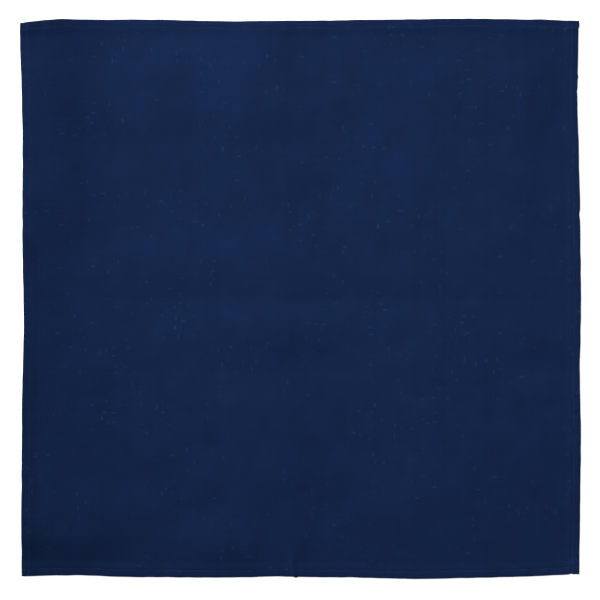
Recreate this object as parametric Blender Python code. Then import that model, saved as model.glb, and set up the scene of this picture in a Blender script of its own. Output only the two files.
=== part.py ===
"""A square cotton bandana, laid flat with its face up.

One square of plain-woven cotton is hemmed on its four sides. Each edge is turned under and stitched
down, so the cloth runs out over the hem, round a fold, and back underneath. The panel is the cloth
inside the hems. Each hem is one wall folded back on itself: the face layer above, the turned layer
below. The hems are sewn in the order bottom, right, top, left, and each runs over the end of the
hem before it.

Metres, +Z up, +X to the right, +Y to the top edge. The origin is the middle of the bandana's box, on
the surface that it lies on.
"""

import math
from collections import namedtuple

import bmesh
import bpy
from mathutils import Vector

# Driving sizes
SIDE = 0.5588  # the finished square, 22 inches
HEM_WIDTH = 0.0083  # from the outer fold to the turned layer's inner edge
LAYER = 0.0010  # one layer of cloth in a hem
GAP = 0.0003  # between pieces, and between the two layers of a hem
PANEL_THICK = 0.0014  # the panel's wall, thinner in its troughs
EAR = 0.0008  # how far the top hem stands out past the right edge
NAVY = (0.0075, 0.0194, 0.0666, 1.0)

# Worked out from them
HEM_HIGH = 2 * LAYER + GAP
FOLD_RADIUS = HEM_HIGH / 2
RAMP_END = HEM_WIDTH + 0.0024  # where the face layer has come down off the hem
OUTER = SIDE / 2
INNER = OUTER - RAMP_END - GAP

# How finely the surfaces are cut up
PANEL_CELLS = 28
HEM_CELLS = 20
FOLD_STEPS = 4

# How far each edge draws in from the true square, by its place along the edge:
# share is 0 at the left or bottom end and 1 at the right or top end, draw is in metres.
Row = namedtuple("Row", "share draw")
EDGES = {
    "top": (
        Row(0.00, 0.0046),
        Row(0.02, 0.0037),
        Row(0.07, 0.0010),
        Row(0.21, 0.0010),
        Row(0.39, 0.0030),
        Row(0.53, 0.0020),
        Row(0.64, 0.0010),
        Row(0.80, 0.0000),
        Row(0.94, 0.0010),
        Row(1.00, 0.0022),
    ),
    "bottom": (
        Row(0.00, 0.0032),
        Row(0.10, 0.0040),
        Row(0.19, 0.0022),
        Row(0.38, 0.0020),
        Row(0.45, 0.0030),
        Row(0.57, 0.0020),
        Row(0.71, 0.0002),
        Row(0.85, 0.0018),
        Row(0.94, 0.0034),
        Row(1.00, 0.0050),
    ),
    "left": (
        Row(0.00, 0.0014),
        Row(0.29, 0.0014),
        Row(0.46, 0.0034),
        Row(0.60, 0.0022),
        Row(0.78, 0.0025),
        Row(0.91, 0.0015),
        Row(0.96, 0.0002),
        Row(1.00, 0.0000),
    ),
    "right": (
        Row(0.00, 0.0018),
        Row(0.10, 0.0010),
        Row(0.25, 0.0002),
        Row(0.35, 0.0012),
        Row(0.50, 0.0000),
        Row(0.66, 0.0010),
        Row(0.76, 0.0022),
        Row(0.86, 0.0038),
        Row(0.93, 0.0030),
        Row(1.00, 0.0026),
    ),
}

# Troughs pressed into the panel's face: the two creases of a bandana folded in four, which cross near
# the middle, then soft hollows that run in from the hems. Each eases to nothing at its far end.
Trough = namedtuple("Trough", "from_x from_y to_x to_y width depth")
CREASES = (
    Trough(-0.0055, -INNER, -0.0225, INNER, 0.012, 0.0004),
    Trough(-INNER, -0.0015, INNER, -0.0015, 0.012, 0.0004),
)
HOLLOWS = (
    Trough(-0.224, 0.262, -0.216, 0.170, 0.034, 0.00034),
    Trough(-0.108, 0.262, -0.101, 0.150, 0.030, 0.00030),
    Trough(-0.041, 0.262, -0.031, 0.180, 0.028, 0.00026),
    Trough(0.100, 0.262, 0.106, 0.190, 0.030, 0.00022),
    Trough(0.236, 0.200, 0.232, 0.090, 0.030, 0.00030),
    Trough(0.262, -0.058, 0.180, -0.052, 0.034, 0.00034),
    Trough(-0.262, -0.092, -0.200, -0.088, 0.028, 0.00024),
    Trough(-0.120, -0.262, -0.100, -0.180, 0.032, 0.00024),
    Trough(0.130, -0.262, 0.118, -0.160, 0.034, 0.00026),
)

# The hems in sewing order. start and end are places along the edge, from the middle.
Hem = namedtuple("Hem", "name side start end")
HEMS = (
    Hem("hem_bottom", "bottom", -INNER, INNER),
    Hem("hem_right", "right", -OUTER, INNER),
    Hem("hem_top", "top", -INNER, OUTER + EAR),
    Hem("hem_left", "left", -OUTER, OUTER),
)


def draw_in(side, share):
    """How far an edge is drawn in at this place, easing from one row of its table to the next."""
    rows = EDGES[side]
    share = min(max(share, 0.0), 1.0)
    for before, after in zip(rows, rows[1:]):
        if share <= after.share:
            part = (share - before.share) / (after.share - before.share)
            ease = part * part * (3 - 2 * part)
            return before.draw + (after.draw - before.draw) * ease
    return rows[-1].draw


def lay(co):
    """Moves a point of the true square to where it lies once the edges are drawn in."""
    across = co.x / SIDE + 0.5
    up = co.y / SIDE + 0.5
    from_left = (1 - across) * draw_in("left", up)
    from_right = across * draw_in("right", up)
    from_bottom = (1 - up) * draw_in("bottom", across)
    from_top = up * draw_in("top", across)
    co.x += from_left - from_right
    co.y += from_bottom - from_top


def trough_depth(trough, x, y, soft_ends):
    """How deep a trough is at a point: full along its line, easing to nothing at its sides."""
    start = Vector((trough.from_x, trough.from_y))
    run = Vector((trough.to_x, trough.to_y)) - start
    part = (Vector((x, y)) - start).dot(run) / run.length_squared
    foot = start + run * min(max(part, 0.0), 1.0)
    aside = (Vector((x, y)) - foot).length / (trough.width / 2)
    if aside >= 1:
        return 0.0
    fade = min(max(2 * (1 - part), 0.0), 1.0) if soft_ends else 1.0
    return trough.depth * (1 - aside) * (1 + aside) * fade


def hollow(x, y):
    """How far the panel's face lies below its full thickness at a point."""
    depths = [trough_depth(crease, x, y, False) for crease in CREASES]
    depths += [trough_depth(soft, x, y, True) for soft in HOLLOWS]
    return max(depths)


def material(name, roughness):
    """A matt cloth finish in the bandana's navy."""
    made = bpy.data.materials.new(name)
    made.use_nodes = True
    shader = made.node_tree.nodes["Principled BSDF"]
    shader.inputs["Base Color"].default_value = NAVY
    shader.inputs["Roughness"].default_value = roughness
    shader.inputs["Metallic"].default_value = 0.0
    return made


def finish(name, bm, roughness):
    """Lays a piece's points out, closes its mesh with its faces outwards, and adds it to the scene."""
    for vert in bm.verts:
        lay(vert.co)
    bmesh.ops.recalc_face_normals(bm, faces=bm.faces)
    mesh = bpy.data.meshes.new(name)
    bm.to_mesh(mesh)
    bm.free()
    piece = bpy.data.objects.new(name, mesh)
    mesh.materials.append(material(name, roughness))
    bpy.context.scene.collection.objects.link(piece)
    return piece


def panel():
    """The cloth inside the hems: flat underneath, with the creases and hollows in its face."""
    bm = bmesh.new()
    bmesh.ops.create_grid(bm, x_segments=PANEL_CELLS, y_segments=PANEL_CELLS, size=INNER)
    for crease in CREASES:
        run = Vector((crease.to_x - crease.from_x, crease.to_y - crease.from_y, 0))
        normal = Vector((-run.y, run.x, 0)).normalized()
        for aside in (-crease.width / 2, 0, crease.width / 2):
            through = Vector((crease.from_x, crease.from_y, 0)) + normal * aside
            everything = bm.verts[:] + bm.edges[:] + bm.faces[:]
            bmesh.ops.bisect_plane(bm, geom=everything, plane_co=through, plane_no=normal)
    raised = bmesh.ops.extrude_face_region(bm, geom=bm.faces[:])
    for vert in raised["geom"]:
        if isinstance(vert, bmesh.types.BMVert):
            vert.co.z = PANEL_THICK - hollow(vert.co.x, vert.co.y)
    return finish("panel", bm, 0.85)


def hem_section():
    """A hem's cross-section as (distance in from the outer fold, height), from the slot round to it."""
    slot_end = FOLD_RADIUS + LAYER
    points = [(slot_end, LAYER), (HEM_WIDTH, LAYER), (HEM_WIDTH, 0.0)]
    for step in range(FOLD_STEPS + 1):
        turn = math.pi * step / FOLD_STEPS
        points.append((FOLD_RADIUS * (1 - math.sin(turn)), FOLD_RADIUS * (1 - math.cos(turn))))
    ramp = RAMP_END - HEM_WIDTH
    points += [
        (HEM_WIDTH, HEM_HIGH),
        (HEM_WIDTH + 0.5 * ramp, (HEM_HIGH + PANEL_THICK) / 2),
        (RAMP_END, PANEL_THICK),
        (RAMP_END, 0.0),
        (HEM_WIDTH + 0.6 * ramp, 0.0),
        (HEM_WIDTH + GAP, LAYER + GAP),
        (slot_end, LAYER + GAP),
    ]
    return points


def end_height(to_end):
    """The share of its height that a hem keeps near an outer end, where it rounds over."""
    if to_end >= FOLD_RADIUS:
        return 1.0
    return max(math.sqrt(1 - (1 - to_end / FOLD_RADIUS) ** 2), 0.45)


def hem_stations(hem):
    """The places along a hem where its section stands, closer together at an end that rounds over."""
    length = hem.end - hem.start
    places = [hem.start + length * step / HEM_CELLS for step in range(HEM_CELLS + 1)]
    for end, inwards in ((hem.start, 1), (hem.end, -1)):
        if abs(end) >= OUTER:
            places += [end + inwards * FOLD_RADIUS * share for share in (0.3, 1.0)]
    return sorted(places)


def on_side(side, along, inwards):
    """The place in the true square of a point on a hem."""
    if side == "top":
        return along, OUTER - inwards
    if side == "bottom":
        return along, inwards - OUTER
    if side == "left":
        return inwards - OUTER, along
    return OUTER - inwards, along


def place_section(verts, hem, along):
    """Stands a hem's section at one place along its side."""
    keep = 1.0
    for end in (hem.start, hem.end):
        if abs(end) >= OUTER:
            keep = min(keep, end_height(abs(along - end)))
    for vert, (inwards, height) in zip(verts, hem_section()):
        x, y = on_side(hem.side, along, inwards)
        vert.co = (x, y, FOLD_RADIUS + (height - FOLD_RADIUS) * keep)


def hem_piece(hem):
    """One turned hem: its section drawn along the side, a station at a time."""
    bm = bmesh.new()
    verts = [bm.verts.new((0, 0, 0)) for _ in hem_section()]
    first = face = bm.faces.new(verts)
    stations = hem_stations(hem)
    place_section(face.verts, hem, stations[0])
    for along in stations[1:]:
        drawn = bmesh.ops.extrude_face_region(bm, geom=[face])
        if face is not first:
            bm.faces.remove(face)
        face = next(item for item in drawn["geom"] if isinstance(item, bmesh.types.BMFace))
        place_section(face.verts, hem, along)
    return finish(hem.name, bm, 0.80)


def centre(pieces):
    """Puts the middle of the whole bandana's box over the origin."""
    corners = [Vector(corner) for piece in pieces for corner in piece.bound_box]
    middle_x = (min(c.x for c in corners) + max(c.x for c in corners)) / 2
    middle_y = (min(c.y for c in corners) + max(c.y for c in corners)) / 2
    for piece in pieces:
        piece.location = (-middle_x, -middle_y, 0)


def build():
    for old in list(bpy.data.objects):
        bpy.data.objects.remove(old, do_unlink=True)
    pieces = [panel()] + [hem_piece(hem) for hem in HEMS]
    bpy.context.view_layer.update()
    centre(pieces)


build()
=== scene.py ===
import math
from collections import namedtuple

import bmesh
import bpy
import numpy as np
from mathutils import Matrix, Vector


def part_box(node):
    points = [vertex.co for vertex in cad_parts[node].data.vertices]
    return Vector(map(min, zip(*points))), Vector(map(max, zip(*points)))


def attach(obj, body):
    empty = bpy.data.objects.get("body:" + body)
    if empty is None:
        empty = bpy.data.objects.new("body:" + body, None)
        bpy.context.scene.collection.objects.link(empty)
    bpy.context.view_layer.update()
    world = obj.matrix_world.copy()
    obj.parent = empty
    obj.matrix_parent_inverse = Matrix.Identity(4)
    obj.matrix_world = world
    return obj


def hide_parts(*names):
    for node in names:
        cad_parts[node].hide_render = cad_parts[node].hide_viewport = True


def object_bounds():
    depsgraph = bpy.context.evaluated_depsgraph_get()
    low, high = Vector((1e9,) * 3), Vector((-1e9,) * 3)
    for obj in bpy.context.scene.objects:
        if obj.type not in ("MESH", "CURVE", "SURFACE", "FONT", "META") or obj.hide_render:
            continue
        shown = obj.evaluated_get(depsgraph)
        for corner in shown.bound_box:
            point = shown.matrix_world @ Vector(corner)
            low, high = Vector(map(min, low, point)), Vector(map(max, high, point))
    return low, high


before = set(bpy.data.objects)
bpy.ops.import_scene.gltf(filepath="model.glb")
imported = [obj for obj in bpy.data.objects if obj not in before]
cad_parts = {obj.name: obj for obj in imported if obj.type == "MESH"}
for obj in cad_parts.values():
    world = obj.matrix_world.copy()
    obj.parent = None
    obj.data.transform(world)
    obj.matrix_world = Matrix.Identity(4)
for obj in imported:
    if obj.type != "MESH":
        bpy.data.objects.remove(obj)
cad_low, cad_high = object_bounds()


# ---------------------------------------------------------------- table, lights and camera
# The bandana lies on a wide white table that glows, as a light table does. A low lamp beyond the top
# left corner lights it from the side, and a pale room fills in. The camera hangs straight above it.
TABLE_HALF = 8.0
VIEW_WIDTH = 0.59835  # how much of the table the camera sees
LENS_MM = 100.0
SENSOR_MM = 36.0
LAMP_PLACE = Vector((-0.93, 1.41, 1.02))
LAMP_AIM = Vector((0.92, -1.06, 0.0))
LAMP_CONE = math.radians(56.5)
LAMP_RADIUS = 0.22
LAMP_WATTS = 352.0
ROOM_LIGHT = 0.135
TABLE_GLOW = 0.9
CAMERA_X = -0.0007
CAMERA_Y = -0.00123

mesh = bpy.data.meshes.new("table")
bm = bmesh.new()
bmesh.ops.create_grid(bm, x_segments=1, y_segments=1, size=TABLE_HALF)
bm.to_mesh(mesh)
bm.free()
table = bpy.data.objects.new("table", mesh)
bpy.context.scene.collection.objects.link(table)
white = bpy.data.materials.new("white_table")
white.use_nodes = True
shader = white.node_tree.nodes["Principled BSDF"]
shader.inputs["Base Color"].default_value = (0.93, 0.93, 0.93, 1.0)
shader.inputs["Roughness"].default_value = 0.9
shader.inputs["Specular IOR Level"].default_value = 0.1
shader.inputs["Emission Color"].default_value = (1.0, 1.0, 1.0, 1.0)
shader.inputs["Emission Strength"].default_value = TABLE_GLOW
mesh.materials.append(white)

lamp = bpy.data.lights.new("soft_lamp", "SPOT")
lamp.energy = LAMP_WATTS
lamp.spot_size = LAMP_CONE
lamp.spot_blend = 1.0
lamp.shadow_soft_size = LAMP_RADIUS
lamp_stand = bpy.data.objects.new("soft_lamp", lamp)
lamp_stand.location = LAMP_PLACE
lamp_stand.rotation_euler = (LAMP_AIM - LAMP_PLACE).to_track_quat("-Z", "Y").to_euler()
bpy.context.scene.collection.objects.link(lamp_stand)

room = bpy.data.worlds.new("pale_room")
room.use_nodes = True
glow = room.node_tree.nodes["Background"]
glow.inputs["Color"].default_value = (1.0, 1.0, 1.0, 1.0)
seen = room.node_tree.nodes.new("ShaderNodeLightPath")
glow_strength = room.node_tree.nodes.new("ShaderNodeMath")
glow_strength.operation = "MAXIMUM"
glow_strength.inputs[1].default_value = ROOM_LIGHT
room.node_tree.links.new(seen.outputs["Is Camera Ray"], glow_strength.inputs[0])
room.node_tree.links.new(glow_strength.outputs[0], glow.inputs["Strength"])
bpy.context.scene.world = room
bpy.context.scene.view_settings.view_transform = "Standard"

lens = bpy.data.cameras.new("camera")
lens.lens = LENS_MM
lens.sensor_width = SENSOR_MM
camera = bpy.data.objects.new("camera", lens)
camera.location = (CAMERA_X, CAMERA_Y, VIEW_WIDTH * LENS_MM / SENSOR_MM)
bpy.context.scene.collection.objects.link(camera)
bpy.context.scene.camera = camera


# ---------------------------------------------------------------- how the cloth lies
# The bandana is cut as one square of thin cotton. Its edges draw in unevenly, and it keeps the creases
# of its packet: it was folded in four, pressed, and opened out again, so it lies in low waves.
HALF = (cad_high.x - cad_low.x) / 2  # the true square runs from -HALF to HALF both ways
CLOTH = 0.00025  # one layer of the cotton
HEM = 0.0083  # from a fold to the turned layers' inner edge
SEAM = 0.0072  # from a fold to its row of stitches
STITCHES = 175  # in a row, from edge to edge
PITCH = 2 * HALF / STITCHES
FOLD_TOLERANCE = 0.00002
SIDES = ("bottom", "right", "top", "left")  # in sewing order
EDGE_RIPPLE = 0.00007  # how much the outline wavers
FOLD_STRAY = 0.0008  # how much a crease or roll strays from its straight run
FOLD_UNEVEN = 0.12  # how much its height varies along it, as a share
FOLD_FULL = 0.30  # it is full for this share of its length either side of its middle
FOLD_FADE = 0.20  # and fades over this share beyond that
REST_HIGH = 0.00150  # the usual height of the cloth's underside
WAVE_HIGH = 0.00026
SMALL_WAVE_HIGH = 0.00005
HEM_WAVE_HIGH = 0.00004  # of the puckers along a hem, which fade out over HEM_WAVE_REACH
HEM_WAVE_REACH = 0.010
REST_SOFT = 0.00050  # how softly a hollow is stopped at the table
TURNED_FLAT = 0.0003  # how far outside the turned layers' inner edge the face starts to come down
TURNED_EASE = 0.0085  # and over what width it does so
ROW_DENT = 0.00008  # how far a row of stitches pulls the face down
HOLE_DENT = 0.00007  # and how much more at a needle hole
DENT_WIDE = 0.00075

# Small faults in the outline. along is the place on its side and out how far it stands out, in metres.
Nick = namedtuple("Nick", "side along width out")
NICKS = (
    Nick("right", 0.2225, 0.0022, 0.0005),
    Nick("right", 0.2075, 0.0022, -0.0004),
    Nick("right", 0.0835, 0.0040, -0.0007),
    Nick("bottom", -0.0045, 0.0016, 0.0009),
    Nick("bottom", 0.2710, 0.0012, -0.0007),
)

# Pressed creases, with a sharp line, and rolls, which are round. left and right are how far each one
# reaches to either side of its run, and a height below nothing is a hollow. Each fades out at its ends.
Fold = namedtuple("Fold", "from_x from_y to_x to_y left right height")
CREASES = (
    Fold(-0.290, -0.0015, 0.290, -0.0015, 0.0060, 0.0060, -0.00022),
    Fold(-0.0130, 0.000, -0.0225, 0.290, 0.0055, 0.0055, 0.00024),
    Fold(-0.0045, -0.290, -0.0130, 0.000, 0.0055, 0.0055, 0.00020),
    Fold(-0.0030, -0.300, -0.0075, -0.254, 0.0030, 0.0013, 0.00110),
)
ROLLS = (
    Fold(-0.300, -0.003, 0.300, -0.003, 0.018, 0.017, -0.00042),
    Fold(-0.024, -0.300, -0.030, 0.300, 0.080, 0.042, 0.00300),
    Fold(-0.262, 0.060, -0.262, 0.340, 0.020, 0.042, 0.00450),
    Fold(-0.192, 0.020, -0.192, 0.310, 0.030, 0.030, -0.00140),
    Fold(-0.200, 0.214, -0.020, 0.216, 0.046, 0.080, 0.00500),
    Fold(0.120, 0.216, 0.250, 0.212, 0.030, 0.050, 0.00150),
    Fold(0.000, 0.110, -0.004, 0.205, 0.030, 0.026, 0.00070),
    Fold(0.222, 0.100, 0.222, 0.225, 0.030, 0.018, 0.00130),
    Fold(0.195, -0.068, 0.310, -0.066, 0.016, 0.014, -0.00090),
    Fold(0.210, -0.099, 0.310, -0.098, 0.012, 0.012, 0.00045),
    Fold(-0.125, -0.240, -0.125, 0.070, 0.060, 0.100, 0.00120),
    Fold(-0.125, -0.250, -0.035, -0.246, 0.022, 0.022, 0.00070),
    Fold(-0.330, -0.230, -0.190, -0.236, 0.050, 0.024, 0.00300),
    Fold(-0.300, -0.238, -0.010, -0.240, 0.050, 0.028, 0.00110),
    Fold(0.105, -0.255, 0.155, -0.105, 0.050, 0.080, 0.00120),
)


def fold_line(side):
    """The points of a hem's outer fold, as (place along the side, how far out it lies), in order."""
    node = "hem_" + side
    low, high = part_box(node)
    points = np.array([vert.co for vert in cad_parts[node].data.vertices])
    points = points[abs(points[:, 2] - (low.z + high.z) / 2) < FOLD_TOLERANCE]
    columns = (1, 0) if side in ("left", "right") else (0, 1)
    return np.unique(points[:, columns].round(6), axis=0)


def soft_step(part):
    """Rises from 0 to 1 with no corner at either end."""
    part = np.clip(part, 0, 1)
    return part * part * (3 - 2 * part)


def ripples(places, seed, count, longest, shortest):
    """Uneven ripples of many lengths along one line. Their usual height is 1."""
    draw = np.random.default_rng(seed)
    total = np.zeros_like(places)
    for _ in range(count):
        length = longest * (shortest / longest) ** draw.random()
        total += np.sin(2 * math.pi * (places / length + draw.random()))
    return total / math.sqrt(count / 2)


def waves(x, y, seed, count, longest, shortest):
    """Uneven waves that run every way, the long ones higher. Their usual height is 1."""
    draw = np.random.default_rng(seed)
    total = np.zeros_like(x)
    power = 0.0
    for _ in range(count):
        length = longest * (shortest / longest) ** draw.random()
        heading = math.pi * draw.random()
        along = x * math.cos(heading) + y * math.sin(heading)
        total += length * np.sin(2 * math.pi * (along / length + draw.random()))
        power += length * length / 2
    return total / math.sqrt(power)


FOLD_LINES = {side: fold_line(side) for side in SIDES}


def fold_at(side, places):
    """How far out a side's fold lies at many places along it, on a smooth line through its points."""
    known, out = FOLD_LINES[side].T
    slope = np.gradient(out, known)
    inside = np.clip(places, known[0], known[-1])
    after = np.clip(np.searchsorted(known, inside), 1, len(known) - 1)
    before = after - 1
    span = known[after] - known[before]
    part = (inside - known[before]) / span
    ease = part * part * (3 - 2 * part)
    line = out[before] + (out[after] - out[before]) * ease
    line += span * slope[before] * part * (1 - part) ** 2
    line -= span * slope[after] * part * part * (1 - part)
    line += (places - inside) * np.where(places > inside, slope[-1], slope[0])
    outwards = 1 if side in ("right", "top") else -1
    line += outwards * EDGE_RIPPLE * ripples(places, SIDES.index(side), 12, 0.060, 0.014)
    for nick in NICKS:
        if nick.side == side:
            line += outwards * nick.out * np.exp(-(((places - nick.along) / nick.width) ** 2))
    return line


def lie(across, up):
    """Where points of the true square lie on the table, with the edges drawn in."""
    share_x = across / (2 * HALF) + 0.5
    share_y = up / (2 * HALF) + 0.5
    box_x = cad_low.x + (cad_high.x - cad_low.x) * share_x
    box_y = cad_low.y + (cad_high.y - cad_low.y) * share_y
    x = fold_at("left", box_y) * (1 - share_x) + fold_at("right", box_y) * share_x
    y = fold_at("bottom", box_x) * (1 - share_y) + fold_at("top", box_x) * share_y
    return x, y


def from_side(side, across, up):
    """How far in from a side's fold points of the true square are, and their places along it."""
    if side == "left":
        return HALF + across, up
    if side == "right":
        return HALF - across, up
    if side == "bottom":
        return HALF + up, across
    return HALF - up, across


def fold_rise(fold, across, up, sharp):
    """How much one crease or roll lifts the cloth."""
    run = Vector((fold.to_x - fold.from_x, fold.to_y - fold.from_y))
    length = run.length
    run /= length
    along = (across - fold.from_x) * run.x + (up - fold.from_y) * run.y
    aside = (up - fold.from_y) * run.x - (across - fold.from_x) * run.y
    aside = aside + FOLD_STRAY * ripples(along, int(abs(fold.from_x) * 1e4), 5, 0.180, 0.045)
    away = abs(aside) / np.where(aside > 0, fold.left, fold.right)
    profile = (1 + away) * np.exp(-1.6 * away) if sharp else np.exp(-(away**2))
    outside = np.maximum(abs(along - length / 2) - FOLD_FULL * length, 0) / (FOLD_FADE * length)
    uneven = 1 + FOLD_UNEVEN * ripples(along, int(abs(fold.to_y) * 1e4) + 7, 5, 0.220, 0.070)
    return fold.height * profile * np.exp(-(outside**2)) * uneven


def rest_height(across, up):
    """How high the cloth's underside stands off the table."""
    height = REST_HIGH + WAVE_HIGH * waves(across, up, 11, 60, 0.150, 0.036)
    height += SMALL_WAVE_HIGH * waves(across, up, 12, 60, 0.030, 0.012)
    for crease in CREASES:
        height += fold_rise(crease, across, up, True)
    for roll in ROLLS:
        height += fold_rise(roll, across, up, False)
    for number, side in enumerate(SIDES):
        inwards, along = from_side(side, across, up)
        fade = np.exp(-np.maximum(inwards - SEAM, 0) / HEM_WAVE_REACH)
        height += HEM_WAVE_HIGH * fade * ripples(along, 20 + number, 24, 0.030, 0.0075)
    return 0.5 * (height + np.sqrt(height * height + REST_SOFT * REST_SOFT))


def turned_share(inwards):
    """1 where a hem's turned layers lie under the face, easing to 0 just inside them."""
    return 1 - soft_step((inwards - HEM + TURNED_FLAT) / TURNED_EASE)


def stack_height(across, up):
    """How thick the turned layers are under the face: two of them in a hem, and more in a corner."""
    beside = turned_share(HALF - abs(across))
    below = turned_share(HALF - abs(up))
    return 2 * CLOTH * (beside + below + beside * below)


def stitch_dent(across, up):
    """How far the rows of stitches pull the face down, most at the needle holes."""
    dent = np.zeros_like(across)
    for side in SIDES:
        inwards, along = from_side(side, across, up)
        hole = 0.5 + 0.5 * np.cos(2 * math.pi * (along + HALF) / PITCH)
        dent += (ROW_DENT + HOLE_DENT * hole) * np.exp(-(((inwards - SEAM) / DENT_WIDE) ** 2))
    return dent


def face_height(across, up):
    """The height of the cloth's face over the table."""
    under = rest_height(across, up) + stack_height(across, up)
    return under + CLOTH - stitch_dent(across, up)


# ---------------------------------------------------------------- panel
# The panel is the cloth inside the four rows of stitches: plain-woven cotton in one colour, dyed navy.
# Its border is one layer that rides up over the hems' turned layers. Further in, its underside is laid
# flat on the table, so the piece is filled in under its waves.
PANEL_CELLS = 58
FACE_CUTS = 4  # extra cuts across each of those cells, in the face only
BORDER_STEPS = (0.0004, 0.0009, 0.0016, 0.0026, 0.0042)  # finer cells just inside the stitches
BORDER_REACH = 0.020  # how far in the underside follows the hems off the table
SHARP_ANGLE = math.radians(50)
NAVY = (0.0052, 0.0168, 0.0615, 1.0)
SLUB_NAVY = (0.0112, 0.0315, 0.099, 1.0)
THREADS = 2400.0  # to a metre, each way


def put(mesh, x, y, z):
    """Moves all of a mesh's points."""
    mesh.vertices.foreach_set("co", np.stack([x, y, z], 1).astype(np.float32).ravel())
    mesh.update()


def points_of(mesh):
    """A mesh's points as three rows: x, y and z."""
    points = np.zeros(len(mesh.vertices) * 3, np.float32)
    mesh.vertices.foreach_get("co", points)
    return points.reshape(-1, 3).T.astype(float)


def new_piece(name, bm):
    """Makes a piece of a bmesh and adds it to the scene."""
    mesh = bpy.data.meshes.new(name)
    bm.to_mesh(mesh)
    bm.free()
    piece = bpy.data.objects.new(name, mesh)
    bpy.context.scene.collection.objects.link(piece)
    return piece


def shade_smooth(mesh):
    """Shades a mesh smooth, but for its sharp corners."""
    mesh.polygons.foreach_set("use_smooth", np.ones(len(mesh.polygons), bool))
    mesh.set_sharp_from_angle(angle=SHARP_ANGLE)


def panel_slab():
    """A flat square slab, 1 high: its underside in wide cells and its face in fine ones."""
    bm = bmesh.new()
    reach = HALF - SEAM
    bmesh.ops.create_grid(bm, x_segments=PANEL_CELLS, y_segments=PANEL_CELLS, size=reach)
    for step in BORDER_STEPS:
        for normal in (Vector((1, 0, 0)), Vector((-1, 0, 0)), Vector((0, 1, 0)), Vector((0, -1, 0))):
            everything = bm.verts[:] + bm.edges[:] + bm.faces[:]
            bmesh.ops.bisect_plane(
                bm, geom=everything, plane_co=normal * (reach - step), plane_no=normal
            )
    raised = bmesh.ops.extrude_face_region(bm, geom=bm.faces[:])
    for vert in raised["geom"]:
        if isinstance(vert, bmesh.types.BMVert):
            vert.co.z = 1
    cell = 2 * reach / PANEL_CELLS
    long_edges = [
        edge
        for edge in bm.edges
        if min(vert.co.z for vert in edge.verts) > 0.5 and edge.calc_length() > 0.5 * cell
    ]
    bmesh.ops.subdivide_edges(bm, edges=long_edges, cuts=FACE_CUTS, use_grid_fill=True)
    bmesh.ops.recalc_face_normals(bm, faces=bm.faces)
    return bm


panel = new_piece("cloth_panel", panel_slab())
across, up, level = points_of(panel.data)
to_edge = HALF - np.maximum(abs(across), abs(up))
follows = 1 - soft_step((to_edge - HEM) / BORDER_REACH)
underside = rest_height(across, up) * follows + stack_height(across, up)
put(panel.data, *lie(across, up), np.where(level > 0.5, face_height(across, up), underside))
shade_smooth(panel.data)


def add(tree, kind, sockets=None, **settings):
    """Adds a shader node, and fills its inputs with values or from other nodes' outputs."""
    node = tree.nodes.new(kind)
    for name, value in settings.items():
        setattr(node, name, value)
    for key, value in (sockets or {}).items():
        if isinstance(value, bpy.types.NodeSocket):
            tree.links.new(value, node.inputs[key])
        else:
            node.inputs[key].default_value = value
    return node


def work(tree, operation, first, second=0.0, third=0.0):
    """The result of one Math node."""
    node = add(tree, "ShaderNodeMath", {0: first, 1: second, 2: third}, operation=operation)
    return node.outputs[0]


def new_group(name, inputs, outputs):
    """An empty shader group with named sockets. inputs gives each one's kind and first value."""
    tree = bpy.data.node_groups.new(name, "ShaderNodeTree")
    for socket_name, kind, value in inputs:
        socket = tree.interface.new_socket(socket_name, in_out="INPUT", socket_type=kind)
        if value is not None:
            socket.default_value = value
    for socket_name, kind in outputs:
        tree.interface.new_socket(socket_name, in_out="OUTPUT", socket_type=kind)
    return tree, tree.nodes.new("NodeGroupInput"), tree.nodes.new("NodeGroupOutput")


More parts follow.
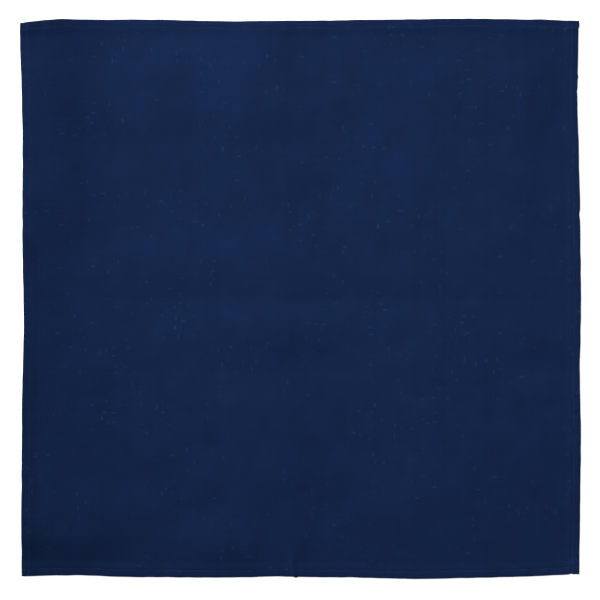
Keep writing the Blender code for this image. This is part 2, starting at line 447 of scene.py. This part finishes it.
def plain_weave_group():
    """Threads that pass over and under each other one by one, each a little off in shade and place."""
    tree, given, gives = new_group(
        "plain_weave",
        [
            ("Vector", "NodeSocketVector", None),
            ("Threads", "NodeSocketFloat", THREADS),
            ("Wander", "NodeSocketFloat", 0.3),
        ],
        [("Height", "NodeSocketFloat"), ("Shade", "NodeSocketFloat")],
    )
    scaled = add(
        tree,
        "ShaderNodeVectorMath",
        {0: given.outputs["Vector"], 3: given.outputs["Threads"]},
        operation="SCALE",
    )
    drift = add(
        tree,
        "ShaderNodeTexNoise",
        {"Vector": scaled.outputs[0], "Scale": 0.045, "Detail": 3.0, "Roughness": 0.6},
        noise_dimensions="3D",
    )
    moved = add(tree, "ShaderNodeSeparateColor", {0: drift.outputs["Color"]})
    place = add(tree, "ShaderNodeSeparateXYZ", {0: scaled.outputs[0]})
    lines = []
    for axis, channel in (("X", "Red"), ("Y", "Green")):
        off = work(tree, "SUBTRACT", moved.outputs[channel], 0.5)
        off = work(tree, "MULTIPLY", off, given.outputs["Wander"])
        off = work(tree, "MULTIPLY", off, 6.0)
        lines.append(work(tree, "ADD", place.outputs[axis], off))
    warp_wave = work(tree, "SINE", work(tree, "MULTIPLY", lines[0], math.pi))
    weft_wave = work(tree, "SINE", work(tree, "MULTIPLY", lines[1], math.pi))
    crossing = work(tree, "MULTIPLY", work(tree, "MULTIPLY", warp_wave, weft_wave), 2.5)
    crossing = work(tree, "MAXIMUM", work(tree, "MINIMUM", crossing, 1.0), -1.0)
    warp_high = work(tree, "MULTIPLY_ADD", crossing, 0.35, 0.65)
    weft_high = work(tree, "MULTIPLY_ADD", crossing, -0.35, 0.65)
    warp = work(tree, "MULTIPLY", work(tree, "ABSOLUTE", warp_wave), warp_high)
    weft = work(tree, "MULTIPLY", work(tree, "ABSOLUTE", weft_wave), weft_high)
    tree.links.new(work(tree, "MAXIMUM", warp, weft), gives.inputs["Height"])
    shades = []
    for number, line in enumerate(lines):
        thread = work(tree, "FLOOR", line)
        own = add(
            tree, "ShaderNodeTexWhiteNoise", {"W": work(tree, "ADD", thread, 0.37 + number)},
            noise_dimensions="1D",
        )
        slow = add(
            tree,
            "ShaderNodeTexNoise",
            {
                "Vector": add(
                    tree,
                    "ShaderNodeCombineXYZ",
                    {
                        0: work(tree, "MULTIPLY", thread, 3.1),
                        1: work(tree, "MULTIPLY", lines[1 - number], 0.03),
                        2: 5.0 * number,
                    },
                ).outputs[0],
                "Scale": 1.0,
                "Detail": 2.0,
            },
            noise_dimensions="3D",
        )
        both = work(tree, "ADD", own.outputs["Value"], slow.outputs[0])
        shades.append(work(tree, "SUBTRACT", both, 1.0))
    on_top = work(tree, "GREATER_THAN", warp, weft)
    picked = add(
        tree, "ShaderNodeMix", {0: on_top, 2: shades[1], 3: shades[0]}, data_type="FLOAT"
    )
    tree.links.new(picked.outputs[0], gives.inputs["Shade"])
    return tree


def slub_group():
    """Short thick places in single threads, which take less dye: light dashes along one axis, thick on
    the ground in some places and missing in others."""
    tree, given, gives = new_group(
        "slubs",
        [
            ("Vector", "NodeSocketVector", None),
            ("Spacing", "NodeSocketFloat", 0.02),
            ("Length", "NodeSocketFloat", 0.0025),
            ("Width", "NodeSocketFloat", 0.0005),
            ("Stray", "NodeSocketFloat", 0.0005),
            ("Cluster Size", "NodeSocketFloat", 0.06),
        ],
        [("Mask", "NodeSocketFloat")],
    )
    bend = add(
        tree,
        "ShaderNodeTexNoise",
        {"Vector": given.outputs["Vector"], "Scale": 400.0, "Detail": 1.0},
        noise_dimensions="3D",
    )
    bend = add(
        tree, "ShaderNodeVectorMath", {0: bend.outputs["Color"], 1: (0.5, 0.5, 0.5)}, operation="SUBTRACT"
    )
    bend = add(
        tree, "ShaderNodeVectorMath", {0: bend.outputs[0], 3: given.outputs["Stray"]}, operation="SCALE"
    )
    bent = add(
        tree, "ShaderNodeVectorMath", {0: given.outputs["Vector"], 1: bend.outputs[0]}, operation="ADD"
    )
    ratio = work(tree, "DIVIDE", 1.0, given.outputs["Spacing"])
    scaled = add(tree, "ShaderNodeVectorMath", {0: bent.outputs[0], 3: ratio}, operation="SCALE")
    cells = add(
        tree,
        "ShaderNodeTexVoronoi",
        {"Vector": scaled.outputs[0], "Scale": 1.0, "Randomness": 1.0},
        voronoi_dimensions="2D",
    )
    offset = add(
        tree,
        "ShaderNodeVectorMath",
        {0: scaled.outputs[0], 1: cells.outputs["Position"]},
        operation="SUBTRACT",
    )
    away = add(tree, "ShaderNodeSeparateXYZ", {0: offset.outputs[0]})
    luck = add(tree, "ShaderNodeSeparateColor", {0: cells.outputs["Color"]})
    size = work(tree, "MULTIPLY_ADD", luck.outputs["Green"], 0.9, 0.45)
    closeness = []
    for axis, reach in (("X", "Length"), ("Y", "Width")):
        distance = work(tree, "ABSOLUTE", away.outputs[axis])
        distance = work(tree, "MULTIPLY", distance, given.outputs["Spacing"])
        half = work(tree, "MULTIPLY", work(tree, "MULTIPLY", given.outputs[reach], 0.5), size)
        full = work(tree, "MULTIPLY", half, 0.2)
        near = add(
            tree,
            "ShaderNodeMapRange",
            {"Value": distance, "From Min": half, "From Max": full},
            interpolation_type="SMOOTHSTEP",
        )
        closeness.append(near.outputs[0])
    crowd = add(
        tree,
        "ShaderNodeTexNoise",
        {
            "Vector": given.outputs["Vector"],
            "Scale": work(tree, "DIVIDE", 1.0, given.outputs["Cluster Size"]),
            "Detail": 2.0,
        },
        noise_dimensions="3D",
    )
    share = add(tree, "ShaderNodeMapRange", {"Value": crowd.outputs[0], "From Min": 0.49, "From Max": 0.70})
    there = work(tree, "LESS_THAN", luck.outputs["Red"], share.outputs[0])
    strength = work(tree, "MULTIPLY_ADD", luck.outputs["Blue"], 0.75, 0.25)
    mask = work(tree, "MULTIPLY", closeness[0], closeness[1])
    mask = work(tree, "MULTIPLY", work(tree, "MULTIPLY", mask, there), strength)
    tree.links.new(mask, gives.inputs["Mask"])
    return tree


def dye_group():
    """Uneven dye: a soft cloudy change of depth, about 1."""
    tree, given, gives = new_group(
        "uneven_dye",
        [
            ("Vector", "NodeSocketVector", None),
            ("Cloud Size", "NodeSocketFloat", 0.05),
            ("Amount", "NodeSocketFloat", 0.1),
        ],
        [("Depth", "NodeSocketFloat")],
    )
    ratio = work(tree, "DIVIDE", 1.0, given.outputs["Cloud Size"])
    clouds = add(
        tree,
        "ShaderNodeTexNoise",
        {"Vector": given.outputs["Vector"], "Scale": ratio, "Detail": 5.0, "Roughness": 0.62},
        noise_dimensions="3D",
    )
    centred = work(tree, "SUBTRACT", clouds.outputs[0], 0.5)
    depth = work(tree, "MULTIPLY_ADD", centred, given.outputs["Amount"], 1.0)
    tree.links.new(depth, gives.inputs["Depth"])
    return tree


WEAVE = plain_weave_group()
SLUBS = slub_group()
DYE = dye_group()


def cotton(name, navy):
    """Matt navy cotton: weave, slubs and uneven dye in its colour, with painted light on the threads' crowns
    and painted shade in the gaps between them, and the threads in its bump.
    """
    made = bpy.data.materials.new(name)
    made.use_nodes = True
    tree = made.node_tree
    shader = tree.nodes["Principled BSDF"]
    place = add(tree, "ShaderNodeTexCoord").outputs["Object"]
    weave = add(tree, "ShaderNodeGroup", node_tree=WEAVE)
    tree.links.new(place, weave.inputs["Vector"])
    weave.inputs["Threads"].default_value = THREADS
    weave.inputs["Wander"].default_value = 0.35
    dye = add(tree, "ShaderNodeGroup", node_tree=DYE)
    tree.links.new(place, dye.inputs["Vector"])
    dye.inputs["Cloud Size"].default_value = 0.030
    dye.inputs["Amount"].default_value = 0.40
    masks = []
    for turn, shift in ((0.0, 0.0), (math.pi / 2, 0.37)):
        turned = add(
            tree, "ShaderNodeMapping", {"Vector": place, "Rotation": (0, 0, turn), "Location": (shift, 0, 0)}
        )
        slubs = add(tree, "ShaderNodeGroup", node_tree=SLUBS)
        tree.links.new(turned.outputs[0], slubs.inputs["Vector"])
        slubs.inputs["Spacing"].default_value = 0.0110
        slubs.inputs["Length"].default_value = 0.0056
        slubs.inputs["Width"].default_value = 0.0022
        slubs.inputs["Stray"].default_value = 0.0024
        slubs.inputs["Cluster Size"].default_value = 0.050
        masks.append(slubs.outputs["Mask"])
    fleck = work(tree, "MAXIMUM", masks[0], masks[1])
    shade = work(tree, "MULTIPLY_ADD", weave.outputs["Shade"], 0.16, 1.0)
    shade = work(tree, "MULTIPLY", shade, dye.outputs["Depth"])
    # Painted light and shade: each thread's colour is lighter on its crown and darker in the gaps between
    # threads.
    weave_gap_shade = work(tree, "MULTIPLY_ADD", weave.outputs["Height"], 0.5, 0.72)
    shade = work(tree, "MULTIPLY", shade, weave_gap_shade)
    dyed = add(
        tree,
        "ShaderNodeVectorMath",
        {0: navy[:3], 3: shade},
        operation="SCALE",
    )
    tint = add(
        tree,
        "ShaderNodeMix",
        {0: fleck, 6: dyed.outputs[0], 7: SLUB_NAVY},
        data_type="RGBA",
    )
    tree.links.new(tint.outputs[2], shader.inputs["Base Color"])
    rough = work(tree, "MULTIPLY_ADD", weave.outputs["Height"], -0.08, 0.92)
    tree.links.new(rough, shader.inputs["Roughness"])
    bump = add(
        tree,
        "ShaderNodeBump",
        {"Height": weave.outputs["Height"], "Distance": 0.00008, "Strength": 0.8},
    )
    tree.links.new(bump.outputs[0], shader.inputs["Normal"])
    shader.inputs["Specular IOR Level"].default_value = 0.04
    shader.inputs["Sheen Weight"].default_value = 0.06
    shader.inputs["Sheen Roughness"].default_value = 0.5
    shader.inputs["Sheen Tint"].default_value = (0.45, 0.6, 1.0, 1.0)
    return made


COTTON = cotton("navy_cotton", NAVY)
panel.data.materials.append(COTTON)
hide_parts("panel")
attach(panel, "root")


# ---------------------------------------------------------------- hems
# Each edge of the square is turned under twice and stitched down. The cloth runs out over the turned
# layers, round the fold, and back underneath, where the two turned layers are one thickness. The hems
# are sewn bottom, right, top, left, and each takes the corner it shares with the hem sewn before it.
SLIT = 0.00008  # between the face layer and the turned layers
EAR = 0.0008  # how far the top hem stands out past the right edge
FACE_STEPS = 9
ARC_STEPS = 8
HIDDEN_STEPS = 4
END_ROUND = 0.0009  # an outer end of a hem rounds over within this length
PUFF = 0.00014  # how much the face swells between the fold and the stitches
PUFF_START = 0.0004  # how far in from the fold the swelling starts
PUFF_UNEVEN = 0.35  # how much it varies along the hem, as a share
SLOT_INSET = 0.0002  # between the round of the fold and the slit's end
CORNER_START = 0.0015  # how far before a corner a hem's turned layers start to narrow
CORNER_EASE = 0.0010  # and within what length it does
CORNER_SPARE = 0.0002  # how far past the stitches they still reach there
END_SHARES = (0.08, 0.25, 0.5)  # where the extra sections of an outer end stand, as shares of END_ROUND
END_THIN = 0.2  # the least share of its thickness that a hem keeps at an outer end

# start and end are places along the side, from the middle.
Hem = namedtuple("Hem", "side start end")
HEMS = (
    Hem("bottom", -HALF + SEAM, HALF - SEAM),
    Hem("right", -HALF, HALF - SEAM),
    Hem("top", -HALF + SEAM, HALF + EAR),
    Hem("left", -HALF, HALF),
)


def on_side(side, inwards, along):
    """The place in the true square of points on a hem."""
    if side == "left":
        return inwards - HALF, along
    if side == "right":
        return HALF - inwards, along
    if side == "bottom":
        return along, inwards - HALF
    return along, HALF - inwards


def hem_stations(hem):
    """The places along a hem where its section stands: four to a stitch, and closer at an outer end."""
    quarter = PITCH / 4
    places = np.arange(4 * STITCHES + 1) * quarter - HALF
    places = list(places[(places > hem.start + quarter / 2) & (places < hem.end - quarter / 2)])
    for end, inwards in ((hem.start, 1), (hem.end, -1)):
        places.append(end)
        if abs(end) >= HALF:
            places += [end + inwards * END_ROUND * share for share in END_SHARES]
    return np.array(sorted(places))


def end_share(hem, along):
    """The share of its thickness that a hem keeps near an outer end."""
    to_end = np.full_like(along, END_ROUND)
    for end in (hem.start, hem.end):
        if abs(end) >= HALF:
            to_end = np.minimum(to_end, abs(along - end))
    return np.maximum(np.sqrt(1 - (1 - to_end / END_ROUND) ** 2), END_THIN)


def hem_section(stack, inner_edge):
    """Points round a hem's cross-section, from the stitches out over the face and back underneath, as
    (distance in from the fold, height over the underside, share of the face's own height changes)."""
    fold = (stack + CLOTH) / 2
    inner = (stack - SLIT) / 2
    slot = fold + SLOT_INSET
    level = np.ones_like(stack)
    points = []
    for share in np.linspace(0, 1, FACE_STEPS + 1):
        points.append((SEAM + (fold - SEAM) * share, stack + CLOTH, level))
    for turn in np.linspace(0, math.pi, ARC_STEPS + 1)[1:]:
        points.append(
            (fold * (1 - math.sin(turn)), fold * (1 + math.cos(turn)), level * max(math.cos(turn), 0))
        )
    for share in np.linspace(0, 1, HIDDEN_STEPS + 1)[1:]:
        points.append((fold + (inner_edge - inner - fold) * share, 0 * stack, 0 * level))
    for turn in np.linspace(0, math.pi, ARC_STEPS // 2 + 1)[1:]:
        points.append(
            (inner_edge + inner * (math.sin(turn) - 1), inner * (1 - math.cos(turn)), 0 * level)
        )
    for share in np.linspace(0, 1, HIDDEN_STEPS + 1)[1:]:
        points.append((inner_edge - inner + (slot - inner_edge + inner) * share, stack - SLIT, 0 * level))
    for share in np.linspace(0, 1, HIDDEN_STEPS + 1):
        points.append((slot + (SEAM - slot) * share, stack, 0 * level))
    points.append(points[0])
    return np.array(points)


def hem_piece(hem):
    """One hem: its section at every station, joined up along the side and closed at both ends."""
    along = hem_stations(hem)
    middle = np.full_like(along, HEM / 2)
    stack = stack_height(*on_side(hem.side, middle, along))
    corner = soft_step((abs(along) - HALF + HEM + CORNER_START) / CORNER_EASE)
    section = hem_section(stack, HEM - (HEM - SEAM - CORNER_SPARE) * corner)
    bm = bmesh.new()
    bmesh.ops.create_grid(
        bm, x_segments=len(along) - 1, y_segments=len(section) - 1, size=1
    )
    piece = new_piece(hem.side + "_hem", bm)
    column, row, _ = points_of(piece.data)
    column = np.rint((column + 1) / 2 * (len(along) - 1)).astype(int)
    row = np.rint((row + 1) / 2 * (len(section) - 1)).astype(int)
    inwards, height, faced = section[row, :, column].T
    across, up = on_side(hem.side, inwards, along[column])
    part = np.clip((inwards - PUFF_START) / (SEAM - PUFF_START), 0, 1)
    uneven = 1 + PUFF_UNEVEN * ripples(along[column], 31, 20, 0.050, 0.009)
    swell = PUFF * np.sin(math.pi * part**0.7) * uneven
    height = height + faced * (swell - stitch_dent(across, up))
    thick = (stack + CLOTH)[column]
    height = thick / 2 + (height - thick / 2) * end_share(hem, along)[column]
    put(piece.data, *lie(across, up), rest_height(across, up) + height)
    bm = bmesh.new()
    bm.from_mesh(piece.data)
    bmesh.ops.remove_doubles(bm, verts=bm.verts, dist=1e-7)
    bmesh.ops.holes_fill(bm, edges=[edge for edge in bm.edges if edge.is_boundary])
    bmesh.ops.recalc_face_normals(bm, faces=bm.faces)
    bm.to_mesh(piece.data)
    bm.free()
    shade_smooth(piece.data)
    piece.data.materials.append(COTTON)
    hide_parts("hem_" + hem.side)
    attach(piece, "root")
    return piece


hems = [hem_piece(hem) for hem in HEMS]


# ---------------------------------------------------------------- topstitching
# One row of lockstitch in navy thread holds each hem down, about 7 mm in from the fold. Each stitch
# dips into the cloth at both ends. A row runs from edge to edge of the bandana, through the corners.
THREAD_WIDE = 0.00034
THREAD_HIGH = 0.00030
STITCH_LONG = 0.0029
STITCH_SHY = 0.0005  # how far a row stays in from the outer edge
THREAD_SEAT = 0.00006  # how far the strand's middle stands off the cloth at the needle holes
THREAD_BOW = 0.00012  # and how much higher it bows between them
BACK_SEAT = 0.00003  # the back's strands lie half sunk in the underside
# The usual value and the spread of a stitch's place, slant in radians, share of length and straying.
STITCH_SPREADS = ((0.0, 0.00008), (0.06, 0.03), (1.0, 0.04), (0.0, 0.00006))
THREAD_NAVY = (0.022, 0.051, 0.138, 1.0)
PLIES = 2
TWISTS = 7  # in one stitch


def stitch_row(hem):
    """A row of stitches on both faces of one hem: an array of one short strand, bent to the row."""
    bm = bmesh.new()
    bm.loops.layers.uv.new("twist")
    bmesh.ops.create_uvsphere(bm, u_segments=8, v_segments=8, radius=1, calc_uvs=True)
    strand_points = len(bm.verts)
    piece = new_piece(hem.side + "_topstitching", bm)
    row = piece.modifiers.new("row", "ARRAY")
    row.count = 2 * STITCHES
    row.use_relative_offset = False
    bpy.context.view_layer.update()
    evaluated = piece.evaluated_get(bpy.context.evaluated_depsgraph_get())
    piece.data = bpy.data.meshes.new_from_object(evaluated)
    piece.modifiers.clear()
    aside, high, length = points_of(piece.data)
    length = np.copysign(abs(length) ** 0.7, length)
    number = np.arange(len(length)) // strand_points
    draw = np.random.default_rng(40 + SIDES.index(hem.side))
    place, slant, long, off = (
        draw.normal(middle, spread, 2 * STITCHES)[number] for middle, spread in STITCH_SPREADS
    )
    run = length * long * STITCH_LONG / 2
    along = (number % STITCHES + 0.5) * PITCH - HALF + place + run
    along = np.clip(along, -HALF + STITCH_SHY, HALF - STITCH_SHY)
    inwards = SEAM + off + aside * THREAD_WIDE / 2 + slant * run
    x, y = lie(*on_side(hem.side, inwards, along))
    seat = on_side(hem.side, np.full_like(along, SEAM), along)
    bow = THREAD_BOW * (1 - length**2)
    face = face_height(*seat) + THREAD_SEAT + bow
    back = np.maximum(rest_height(*seat) + BACK_SEAT, THREAD_HIGH / 2)
    put(piece.data, x, y, np.where(number < STITCHES, face, back) + high * THREAD_HIGH / 2)
    shade_smooth(piece.data)
    piece.data.materials.append(THREAD)
    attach(piece, "root")
    return piece


def thread_material():
    """Navy sewing thread: two plies twisted together, a little lighter and smoother than the cotton, with
    painted light on the plies' crowns and painted shade in the grooves between them.
    """
    made = bpy.data.materials.new("navy_thread")
    made.use_nodes = True
    tree = made.node_tree
    shader = tree.nodes["Principled BSDF"]
    place = add(tree, "ShaderNodeTexCoord").outputs["Object"]
    dye = add(tree, "ShaderNodeGroup", node_tree=DYE)
    tree.links.new(place, dye.inputs["Vector"])
    dye.inputs["Cloud Size"].default_value = 0.035
    dye.inputs["Amount"].default_value = 1.8
    strand = add(tree, "ShaderNodeUVMap", uv_map="twist").outputs[0]
    strand = add(tree, "ShaderNodeSeparateXYZ", {0: strand})
    round_it = work(tree, "MULTIPLY", strand.outputs["X"], PLIES)
    turns = work(tree, "MULTIPLY_ADD", strand.outputs["Y"], TWISTS, round_it)
    ply = work(tree, "ABSOLUTE", work(tree, "SINE", work(tree, "MULTIPLY", turns, math.pi)))
    # Painted light and shade: the thread's colour is lighter on each ply's crown and darker in the grooves
    # between the plies.
    shade = work(tree, "MULTIPLY", dye.outputs["Depth"], work(tree, "MULTIPLY_ADD", ply, 0.5, 0.65))
    dyed = add(tree, "ShaderNodeVectorMath", {0: THREAD_NAVY[:3], 3: shade}, operation="SCALE")
    tree.links.new(dyed.outputs[0], shader.inputs["Base Color"])
    bump = add(tree, "ShaderNodeBump", {"Height": ply, "Distance": 0.00006, "Strength": 0.7})
    tree.links.new(bump.outputs[0], shader.inputs["Normal"])
    shader.inputs["Roughness"].default_value = 0.75
    shader.inputs["Specular IOR Level"].default_value = 0.08
    return made


THREAD = thread_material()
stitches = [stitch_row(hem) for hem in HEMS]
